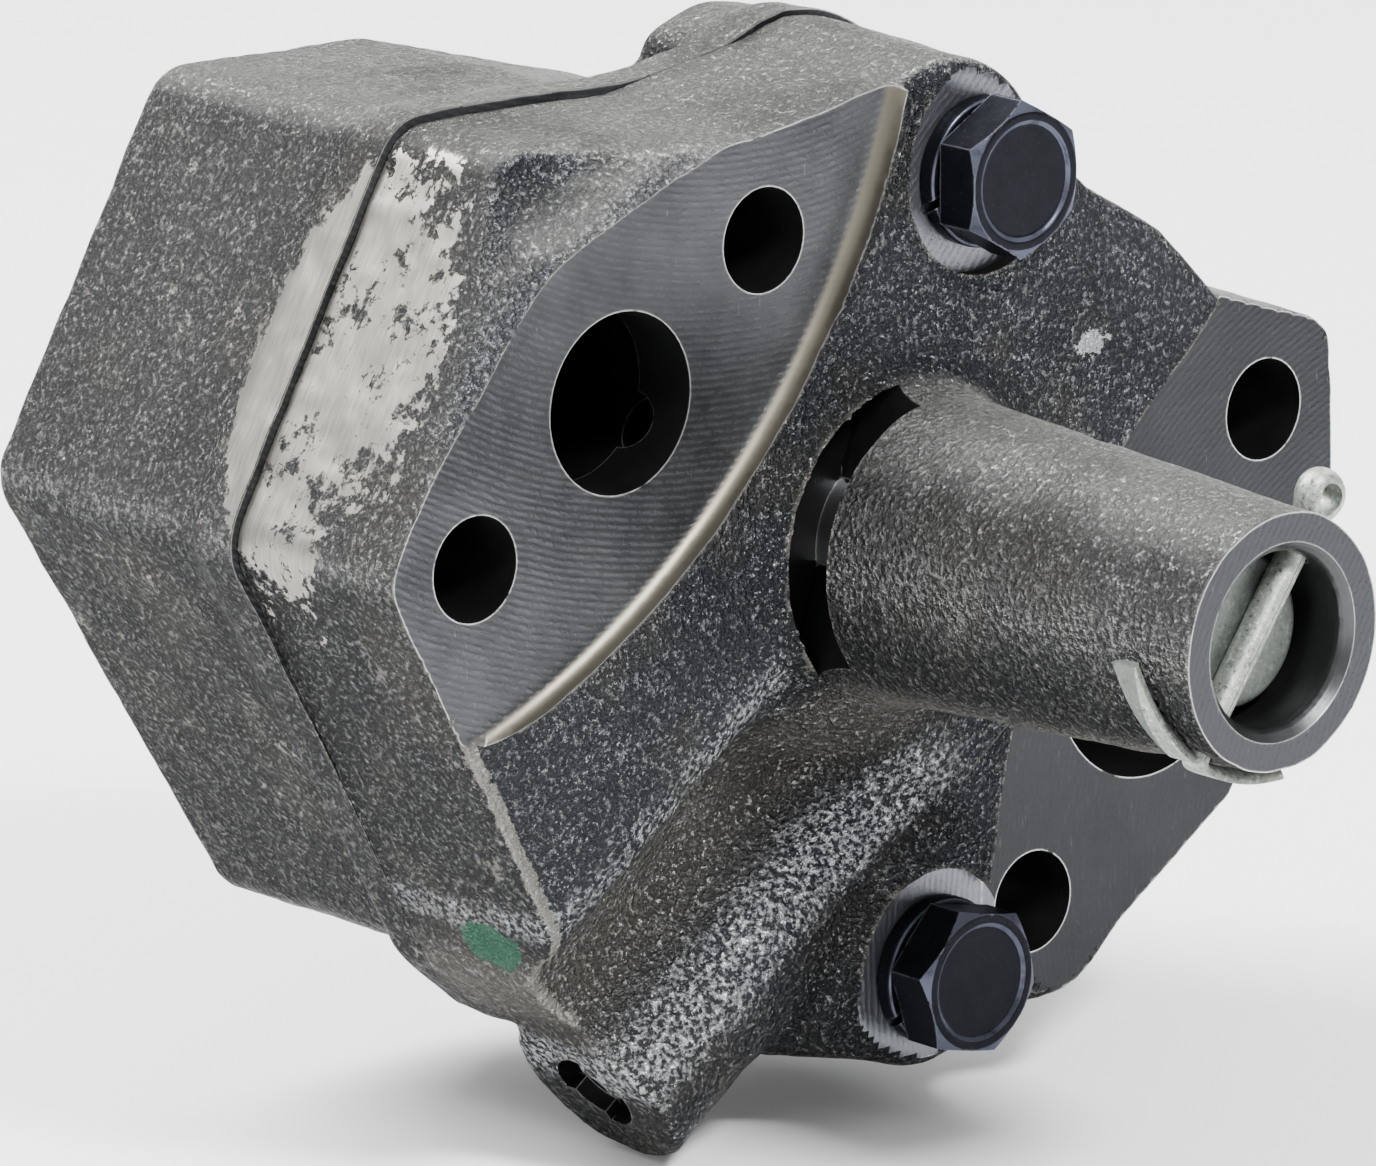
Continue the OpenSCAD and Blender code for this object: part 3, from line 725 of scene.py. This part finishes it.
def milled_iron(name):
    """Milled faces with curved feed marks, round the centre that each cutter swept."""
    paint = Paint(name)
    x, f, z, at = paint.place()
    ny = slope(paint)[1]
    left = paint.math("LESS_THAN", paint.far(x, z, LEFT_MILL), LEFT_MILL_R + 1)
    sweep = paint.node("MapRange", Value=left, From_Min=0, From_Max=1,
                       To_Min=paint.far(x, z, RIGHT_MILL), To_Max=paint.far(x, z, (-20, 120)))
    wobble = paint.noise(at, 0.10, 2)
    path = total(paint, sweep, (wobble, 0.8), (paint.noise(at, 0.9, 2, 0.5, shift=88), 0.25))
    ring = total(paint, (paint.math("SINE", paint.times(path, 2 * math.pi / FEED_MARKS)), 0.5), 0.5)
    broken = paint.fade(paint.noise(at, 1.1, 4, 0.75, shift=72), 0.42, 0.60)
    ring = paint.times(ring, total(paint, 0.25, (broken, 0.75)))
    cross = paint.node("TexNoise", settings={"noise_dimensions": "1D"},
                       W=paint.far(x, z, (60, 150)), Scale=0.8, Detail=4, Roughness=0.7)
    scratch = paint.fade(paint.noise(at, 0.9, 4, 0.7, stretch=(3.0, 1, 0.3), shift=4), 0.65, 0.77)
    stain = paint.noise(at, 0.07, 5, 0.62, shift=19)
    tone = total(paint, (stain, 0.75), (ring, 0.18), (cross, 0.12), -0.17)
    colour = paint.mix(tone, (0.018, 0.019, 0.022), (0.165, 0.168, 0.175))
    # Painted shade: the right flange, outside the left cutter's sweep, is darkened
    colour = paint.mix(paint.times(paint.minus(1, left), 0.75), colour, (0.024, 0.025, 0.027))
    tip = paint.math("GREATER_THAN", f, TIP - 0.3)
    colour = paint.over(colour, tip, 0.7, (0.060, 0.062, 0.068))
    colour = paint.over(colour, scratch, 0.35, (0.45, 0.45, 0.46))
    # Painted light: the bolts' spot faces get a lighter tone that lifts the shade of their recess
    for bolt in (UPPER, LOWER):
        ring_face = paint.math("LESS_THAN", paint.far(x, z, bolt), SPOT_R + 0.3)
        spot_face_light = paint.mix(stain, (0.10, 0.105, 0.12), (0.28, 0.29, 0.32))
        colour = paint.over(colour, ring_face, 0.85, spot_face_light)
    # The rounded step that the left cutter left, made brighter than the face by a painted
    # reflection
    step = paint.fade(ny, -0.98, -0.80)
    step = paint.times(step, paint.math("GREATER_THAN", f, FLANGE + 0.02))
    colour = paint.over(colour, step, 0.8, (0.150, 0.138, 0.105))
    # Bright edges: wear and a painted edge highlight
    wear_and_edge_highlight = edge_wear_and_highlight(paint, at, 0.9, 0.45)
    colour = paint.mix(wear_and_edge_highlight, colour, (0.62, 0.62, 0.62))
    height = total(paint, (ring, 1.0), (cross, 0.35), (paint.noise(at, 1.6, 3, 0.6, shift=6), 0.5))
    height = paint.times(height, paint.minus(1, step))
    rough = total(paint, 0.30, (stain, 0.2))
    return paint.finish(colour, rough, paint.bump(height, 0.045, 0.9), 0.92,
                        Specular_Tint=(0.5, 0.5, 0.5, 1))


def bored_iron(name):
    """Bores and drilled holes: dark, oily, with fine turning marks, painted shade deeper in, in the
    valve window and inside the tube's mouth, and bright edges that are partly a painted edge
    highlight.
    """
    paint = Paint(name)
    x, f, z, at = paint.place()
    marks = paint.math("SINE", paint.times(f, 2 * math.pi / TURN_MARKS))
    stain = paint.noise(at, 0.2, 4, 0.6, shift=8)
    # Painted shade: darker deeper in, towards the joint
    deep = paint.fade(f, PART + 5, FLANGE - 1)
    near = paint.mix(stain, (0.03, 0.031, 0.033), (0.085, 0.086, 0.088))
    colour = paint.mix(deep, (0.012, 0.012, 0.013), near)
    # Painted shade: the valve window's pocket and the inside of the tube's mouth are darkened
    window_shade = paint.math("LESS_THAN", paint.math("ABSOLUTE", paint.minus(f, FLANGE - 1)), 0.8)
    window_shade = paint.times(window_shade, paint.math("LESS_THAN", paint.far(x, z, (0, 0)), WINDOW_R + 1))
    mouth = paint.fade(f, TIP - 1.0, TIP - 2.5)
    shaded = largest(paint, window_shade, paint.times(mouth, 0.7))
    colour = paint.mix(shaded, colour, (0.022, 0.022, 0.023))
    # Bright edges: wear and a painted edge highlight
    colour = paint.mix(edge_wear_and_highlight(paint, at, 0.9, 0.3), colour, (0.5, 0.5, 0.5))
    return paint.finish(colour, paint.plus(0.28, paint.times(stain, 0.2)),
                        paint.bump(marks, 0.012, 0.5), 0.9)


def steel(name, low, high, rough):
    """Ground or turned steel, with fine marks round the y axis and faint stains."""
    paint = Paint(name)
    _, f, _, at = paint.place()
    stain = paint.noise(at, 0.25, 4, 0.6, shift=14)
    speck = paint.noise(at, 2.2, 3, 0.7, shift=33)
    marks = paint.math("SINE", paint.times(f, 2 * math.pi / GROUND_MARKS))
    colour = paint.mix(paint.plus(paint.times(stain, 0.6), paint.times(speck, 0.4)),
                       low, high)
    height = paint.plus(paint.times(marks, 0.4), speck)
    return paint.finish(colour, paint.plus(rough, paint.times(stain, 0.15)),
                        paint.bump(height, 0.012, 0.6), 1.0)


def black_oxide(name):
    """Blackened steel, a little dusty, rubbed through at its edges with a painted edge highlight,
    and with a painted bluish reflection on its chamfer.
    """
    paint = Paint(name)
    at = paint.place()[3]
    stain = paint.noise(at, 0.35, 4, 0.6)
    dust = paint.fade(paint.noise(at, 2.6, 3, 0.7, shift=21), 0.62, 0.74)
    colour = paint.mix(stain, (0.0045, 0.005, 0.007), (0.013, 0.0135, 0.017))
    colour = paint.over(colour, dust, 0.12, (0.4, 0.4, 0.4))
    # Rubbed edges: wear and a painted edge highlight
    wear_and_edge_highlight = edge_wear_and_highlight(paint, at, 0.75, 0.5)
    colour = paint.over(colour, wear_and_edge_highlight, 0.55, (0.20, 0.21, 0.25))
    # Painted reflection: the chamfer under the head's top gets a bluish tint
    ny = slope(paint)[1]
    chamfer = paint.times(paint.fade(ny, -0.97, -0.93), paint.fade(ny, -0.55, -0.70))
    chamfer = paint.times(chamfer, paint.fade(stain, 0.30, 0.55, 0.4, 1))
    colour = paint.over(colour, chamfer, 0.8, (0.085, 0.092, 0.125))
    rough = paint.plus(0.20, paint.times(stain, 0.22))
    return paint.finish(colour, rough, paint.bump(paint.noise(at, 3.0, 3), 0.03, 0.5), 0.6,
                        Specular_IOR_Level=0.1, Specular_Tint=(0.4, 0.4, 0.45, 1))


def zinc(name):
    """Zinc plating with a pale bloom and worn, darker places."""
    paint = Paint(name)
    _, f, _, at = paint.place()
    bloom = paint.noise(at, 1.6, 5, 0.7)
    patch = paint.noise(at, 0.5, 3, 0.6, shift=12)
    colour = paint.mix(patch, (0.20, 0.22, 0.20), (0.46, 0.48, 0.44))
    colour = paint.mix(paint.fade(bloom, 0.55, 0.66), colour, (0.66, 0.68, 0.65))
    colour = paint.mix(paint.fade(bloom, 0.45, 0.34), colour, (0.10, 0.11, 0.10))
    # Painted shade: deeper in the bore the plating is darkened
    bore_shade = paint.fade(f, PIN_F - 1.75, PIN_F - 1.95)
    colour = paint.over(colour, bore_shade, 0.72, (0.085, 0.10, 0.095))
    return paint.finish(colour, paint.plus(0.34, paint.times(bloom, 0.3)),
                        paint.bump(bloom, 0.08, 0.7), 0.8)


MILL = milled_iron("milled_iron")
BORE = bored_iron("bored_iron")
BLACK = black_oxide("black_oxide")
ZINC = zinc("zinc_plate")
GROUND = steel("ground_steel", (0.38, 0.39, 0.40), (0.60, 0.61, 0.62), 0.22)
GEAR = steel("gear_steel", (0.22, 0.23, 0.24), (0.40, 0.41, 0.42), 0.30)
BRIGHT = steel("bright_steel", (0.48, 0.48, 0.47), (0.72, 0.72, 0.71), 0.24)
BRONZE = steel("bronze", (0.42, 0.27, 0.12), (0.66, 0.46, 0.22), 0.28)

# ---------------------------------------------------------------- castings
CELL = 0.9
MARGIN = 1.5


def worn_rim(x, y, z):
    """1 on the cover's front along its outer edge, 0 a millimetre or two away."""
    wall = outline(x, z) + COVER_DRAFT * (-y - PART)
    return np.clip(1 - np.abs(wall + 0.9) / 1.3, 0, 1) * (-y > RIM - 2) * (boss_frame(x, z)[1] > 13)


def place_piece(piece, node):
    """Stands a piece in for its CAD node, on the root body."""
    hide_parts(node)
    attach(piece, "root")


def cast_piece(name, field, on_body):
    low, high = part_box(name)
    low = [low[0] / MM - AXIS_X - MARGIN, low[1] / MM - MARGIN, low[2] / MM - AXIS_Z - MARGIN]
    high = [high[0] / MM - AXIS_X + MARGIN, high[1] / MM + MARGIN, high[2] / MM - AXIS_Z + MARGIN]
    materials = [cast_iron(name + "_iron", on_body), MILL, BORE]
    piece = build(name + "_casting", field, low, high, CELL, materials,
                  rim=None if on_body else worn_rim)
    place_piece(piece, name)


cast_piece("front_cover", cover, False)
cast_piece("pump_body", body, True)

# ---------------------------------------------------------------- bolts and lock washers
HEAD_FLATS, HEAD_HEIGHT, WASHER, WASHER_R, WASHER_HOLE_R = 17, 6.4, 2.5, 9.2, 5.3
SHANK_R, PITCH, SHANK_LONG, SHANK_PLAIN = 5, 1.5, 40, 12
HEAD_F = SEAT + WASHER


def hex_bolt(centre, twist):
    """A bolt with a rolled thread, a washer face under its head and a turned, dished top."""
    def field(x, y, z):
        f = -y
        px, pz = x - centre[0], z - centre[1]
        r = np.hypot(px, pz)
        flats = -np.inf
        for k in range(3):
            a = math.radians(twist + 60 * k)
            flats = np.maximum(flats, np.abs(px * math.cos(a) + pz * math.sin(a)) - HEAD_FLATS / 2)
        top = HEAD_F + HEAD_HEIGHT
        dished = top - f - 0.35 * np.clip((7.4 - r) / 0.5, 0, 1)
        cone = (r - HEAD_FLATS / 2 + 0.15 + (f - top) * 1.7) * 0.5
        head = np.maximum(np.maximum(flats, cone), np.maximum(-dished, HEAD_F + 0.4 - f))
        collar = np.maximum(r - HEAD_FLATS / 2 + 0.3, np.maximum(HEAD_F - f, f - HEAD_F - 0.5))
        turn = f / PITCH - np.arctan2(pz, px) / (2 * math.pi)
        thread = np.abs(turn - np.floor(turn) - 0.5) * 1.6
        thread = np.where(f < HEAD_F - SHANK_PLAIN, thread, 0)
        shank = np.maximum(r - SHANK_R + thread,
                           np.maximum(HEAD_F - SHANK_LONG - f, f - HEAD_F - 1))
        return Solid(np.minimum(np.minimum(head, collar), shank))
    return field


def split_washer(centre, split):
    """A spring lock washer: rounded edges, cut across and sprung apart a little at the cut."""
    def field(x, y, z):
        f = -y
        px, pz = x - centre[0], z - centre[1]
        r = np.hypot(px, pz)
        a = np.arctan2(pz, px) - math.radians(split)
        a = a - 2 * math.pi * np.floor(a / (2 * math.pi))
        lift = 0.25 * np.clip((a / (2 * math.pi) - 0.75) * 4, 0, 1)
        ring = meet(np.abs(r - (WASHER_R + WASHER_HOLE_R) / 2) - (WASHER_R - WASHER_HOLE_R) / 2,
                    np.abs(f - SEAT - WASHER / 2 + lift) - WASHER / 2 + 0.02, 0.55)
        edge = np.minimum(a, 2 * math.pi - a) * r
        across = np.where(a > math.pi, -edge, edge) + (f - SEAT - WASHER / 2) * 0.5
        gap = np.where(np.cos(a) > 0, np.abs(across) - 0.55, 9)
        return Solid(np.maximum(ring, -gap))
    return field


SMALL = 0.3
REACH = 10.5


def around(centre, back, front):
    """A bolt's corners for build(), from f = back to f = front."""
    return ([centre[0] - REACH, -front, centre[1] - REACH],
            [centre[0] + REACH, -back, centre[1] + REACH])


for place, centre, twist, split in (("upper", UPPER, 0, 200), ("lower", LOWER, 18, 215)):
    span = around(centre, HEAD_F - SHANK_LONG - 1, HEAD_F + HEAD_HEIGHT + 1)
    bolt = build(place + "_hex_bolt", hex_bolt(centre, twist), *span, SMALL, [BLACK])
    place_piece(bolt, place + "_cover_bolt")
    span = around(centre, SEAT - 1, HEAD_F + 1)
    ring = build(place + "_split_washer", split_washer(centre, split), *span, SMALL * 0.8,
                 [BLACK])
    place_piece(ring, place + "_lock_washer")


# ---------------------------------------------------------------- spring seat
seat_low, seat_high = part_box("spring_seat")
SEAT_FRONT, SEAT_BACK, SEAT_DISC_R = -seat_low[1] / MM, -seat_high[1] / MM, 9.2


def seat_disc(x, y, z):
    """A pressed disc with rounded edges and a shallow dimple, and a spigot for the spring."""
    f, r = -y, np.hypot(x, z)
    plate = meet(r - SEAT_DISC_R, np.abs(f - SEAT_FRONT + 1) - 1, 0.7)
    plate = np.maximum(plate, 0.5 - np.hypot(r, SEAT_FRONT + 4.5 - f) + 4.2)
    spigot = np.maximum(r - 5.6, np.maximum(f - SEAT_FRONT + 1, SEAT_BACK - f))
    return Solid(np.minimum(plate, spigot))


disc_piece = build("seat_disc", seat_disc, [-11, seat_low[1] / MM - 1, -11],
                   [11, seat_high[1] / MM + 1, 11], SMALL, [ZINC])
place_piece(disc_piece, "spring_seat")

# ---------------------------------------------------------------- split pin
def mesh_object(name, points, faces, material, smooth_below=40):
    """An object from points in millimetres about the valve tube's axis, as x, f, z."""
    mesh = bpy.data.meshes.new(name)
    placed = [((x + AXIS_X) * MM, -f * MM, (z + AXIS_Z) * MM) for x, f, z in points]
    mesh.from_pydata(placed, [], faces)
    mesh.materials.append(material)
    mesh.polygons.foreach_set("use_smooth", [True] * len(mesh.polygons))
    mesh.set_sharp_from_angle(angle=math.radians(smooth_below))
    obj = bpy.data.objects.new(name, mesh)
    bpy.context.collection.objects.link(obj)
    return obj


def split_pin():
    """One half-round wire: leg, shank, eye, shank, leg. The path lies on the wire's flat side."""
    a = math.radians(PIN_DIR)
    out, side = np.array([math.cos(a), math.sin(a)]), np.array([-math.sin(a), math.cos(a)])
    wrap_r, hole_r, bend = 17.35, 15.5, 1.9
    steps, corner_steps, eye_steps = 30, 7, 31
    eye_foot, eye_long, eye_half, eye_gap = 15.7, 4.4, 2.3, 0.35
    width, thick, gap, sides = 1.95, 1.6, 0.06, 11
    leg = []
    # How far each leg wraps round the tube, how far it drifts along it, which way, and its bow
    for turn, drift, lift, bow in ((50, -3.6, 1, 1.2), (44, 1.2, -1, 1)):
        half = []
        start = math.degrees(math.asin(bend / wrap_r)) + 1
        for t in np.linspace(1, 0, steps):
            b = math.radians(start + (turn - start) * t)
            r = wrap_r + 0.5 * max(0, t - 0.8)
            half.append((-out * math.cos(b) + side * lift * math.sin(b)) * r)
        corner = -out * hole_r + side * lift * bend
        for b in np.linspace(80, 0, corner_steps):
            b = math.radians(b)
            half.append(corner - out * bend * math.sin(b) - side * lift * bend * math.cos(b))
        for r in np.linspace(-14, hole_r, steps):
            half.append(out * r)
        along = np.concatenate([drift * np.linspace(1, 0, steps) ** bow,
                                np.zeros(corner_steps + steps)])
        leg.append((np.array(half), along))
    eye = []
    for phi in np.linspace(eye_gap, 2 * math.pi - eye_gap, eye_steps):
        eye.append(out * (eye_foot + eye_long * (1 - math.cos(phi)) / 2)
                   + side * eye_half * math.sin(phi) * math.sin(phi / 2))
    path = np.concatenate([leg[0][0], np.array(eye), leg[1][0][::-1]])
    shift = np.concatenate([leg[0][1], np.linspace(0, 0.01, eye_steps), leg[1][1][::-1]])
    for _ in range(2):
        path[1:-1] = (path[:-2] + 2 * path[1:-1] + path[2:]) / 4
    tangent = np.gradient(path, axis=0)
    tangent /= np.linalg.norm(tangent, axis=1, keepdims=True)
    flat = np.stack([tangent[:, 1], -tangent[:, 0]], 1)
    points, faces = [], []
    for p, n, along in zip(path, flat, shift):
        for k in range(sides):
            b = math.pi * k / (sides - 1)
            q = p - n * (gap + thick * math.sin(b))
            points.append((q[0], PIN_F + along + width * math.cos(b), q[1]))
    for i in range(len(path) - 1):
        for k in range(sides):
            m = (k + 1) % sides
            faces.append((i * sides + k, i * sides + m, (i + 1) * sides + m, (i + 1) * sides + k))
    faces.append(tuple(range(sides))[::-1])
    faces.append(tuple((len(path) - 1) * sides + k for k in range(sides)))
    piece = mesh_object("split_pin", points, faces, ZINC)
    place_piece(piece, "cotter_pin")


split_pin()


# ---------------------------------------------------------------- relief spring
def coil_spring():
    """A closed-ended coil from the piston's floor to the spring seat."""
    low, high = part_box("relief_spring")
    wire, turns, steps, sides = 0.9, 9, 30, 12
    radius = (high[0] - low[0]) / 2 / MM - wire
    start, end = -high[1] / MM + wire, -low[1] / MM - wire
    closed, rest = 2.05 * wire, 1 / turns
    centres = []
    for i in range(turns * steps + 1):
        u = i / (turns * steps)
        v = min(1, max(0, (u - rest) / (1 - 2 * rest)))
        f = (start + closed * (min(u, rest) / rest + 1 - min(1 - u, rest) / rest)
             + (end - start - 2 * closed) * v)
        a = 2 * math.pi * turns * u
        centres.append((radius * math.cos(a), f, radius * math.sin(a)))
    points, faces = [], []
    for x, f, z in centres:
        r = math.hypot(x, z)
        for k in range(sides):
            b = 2 * math.pi * k / sides
            grow = (r + wire * math.cos(b)) / r
            points.append((x * grow, f + wire * math.sin(b), z * grow))
    for i in range(len(centres) - 1):
        for k in range(sides):
            m = (k + 1) % sides
            faces.append((i * sides + k, (i + 1) * sides + k, (i + 1) * sides + m, i * sides + m))
    faces.append(tuple(range(sides)))
    faces.append(tuple((len(centres) - 1) * sides + k for k in range(sides))[::-1])
    piece = mesh_object("relief_coil", points, faces, BRIGHT, 60)
    place_piece(piece, "relief_spring")
    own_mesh(piece)


coil_spring()

# ---------------------------------------------------------------- carried-over CAD nodes
FINISHES = {"ground_steel": GROUND, "gear_steel": GEAR, "bright_steel": BRIGHT,
            "black_steel": BLACK, "bronze": BRONZE, "zinc_steel": ZINC, "cast_iron": MILL}
for part in frame["record"]["subparts"]:
    node = frame["nodes"][part["node"]]
    if not node.hide_render:
        for holder in node.material_slots:
            holder.link = "OBJECT"
            holder.material = FINISHES[part["material_slot"]]

# ---------------------------------------------------------------- camera, light and floor
def aim(obj, at):
    obj.rotation_euler = (Vector(at) - obj.location).to_track_quat("-Z", "Y").to_euler()


# Fitted to the photograph
CAMERA_AT, AZIMUTH, ELEVATION, LENS = (-0.8866, -1.0046, 0.3136), 42.2, 14.6, 287.79
camera_data = bpy.data.cameras.new("camera")
camera = bpy.data.objects.new("camera", camera_data)
bpy.context.collection.objects.link(camera)
bpy.context.scene.camera = camera
camera_data.sensor_width = 36
camera_data.lens = LENS
camera_data.clip_end = 10
azimuth, elevation = math.radians(AZIMUTH), math.radians(ELEVATION)
forward = Vector((math.sin(azimuth) * math.cos(elevation),
                  math.cos(azimuth) * math.cos(elevation), -math.sin(elevation)))
right = Vector((math.cos(azimuth), -math.sin(azimuth), 0))
pose = Matrix((right, right.cross(forward), -forward)).transposed().to_4x4()
pose.translation = Vector(CAMERA_AT)
camera.matrix_world = pose

FLOOR_HALF = 3
floor_mesh = bpy.data.meshes.new("floor")
corners = [(x * FLOOR_HALF, y * FLOOR_HALF, cad_box[0][2])
           for x, y in ((-1, -1), (1, -1), (1, 1), (-1, 1))]
floor_mesh.from_pydata(corners, [], [(0, 1, 2, 3)])
floor = bpy.data.objects.new("floor", floor_mesh)
bpy.context.collection.objects.link(floor)
floor_paint = Paint("floor")
floor_mesh.materials.append(floor_paint.finish((0.93, 0.93, 0.93), 0.7, None, 0.0))


def area_light(name, at, size, power):
    data = bpy.data.lights.new(name, "AREA")
    data.size = size
    data.energy = power
    light = bpy.data.objects.new(name, data)
    bpy.context.collection.objects.link(light)
    light.location = at
    aim(light, (0, -0.04, 0))


area_light("overhead", (-0.5, 0.7, 1.3), 1.0, 75)
area_light("front", (-0.08, -1.0, 1.0), 0.26, 36)
area_light("right", (1.3, 0.3, 0.9), 0.6, 14)
# A studio room: bright ceiling and left, dim low on the right
world = bpy.data.worlds.new("studio")
bpy.context.scene.world = world
world.use_nodes = True
room = world.node_tree
background = room.nodes["Background"]
way = room.nodes.new("ShaderNodeTexCoord")
turn = room.nodes.new("ShaderNodeVectorMath")
turn.operation = "DOT_PRODUCT"
turn.inputs[1].default_value = Vector((-0.45, 0.35, 0.82)).normalized()
ramp = room.nodes.new("ShaderNodeMapRange")
room.links.new(way.outputs["Generated"], turn.inputs[0])
room.links.new(turn.outputs["Value"], ramp.inputs["Value"])
for socket, value in zip(("From Min", "From Max", "To Min", "To Max"), (-0.5, 0.9, 0.25, 1.45)):
    ramp.inputs[socket].default_value = value
room.links.new(ramp.outputs["Result"], background.inputs["Strength"])
background.inputs["Color"].default_value = (1, 1, 1, 1)
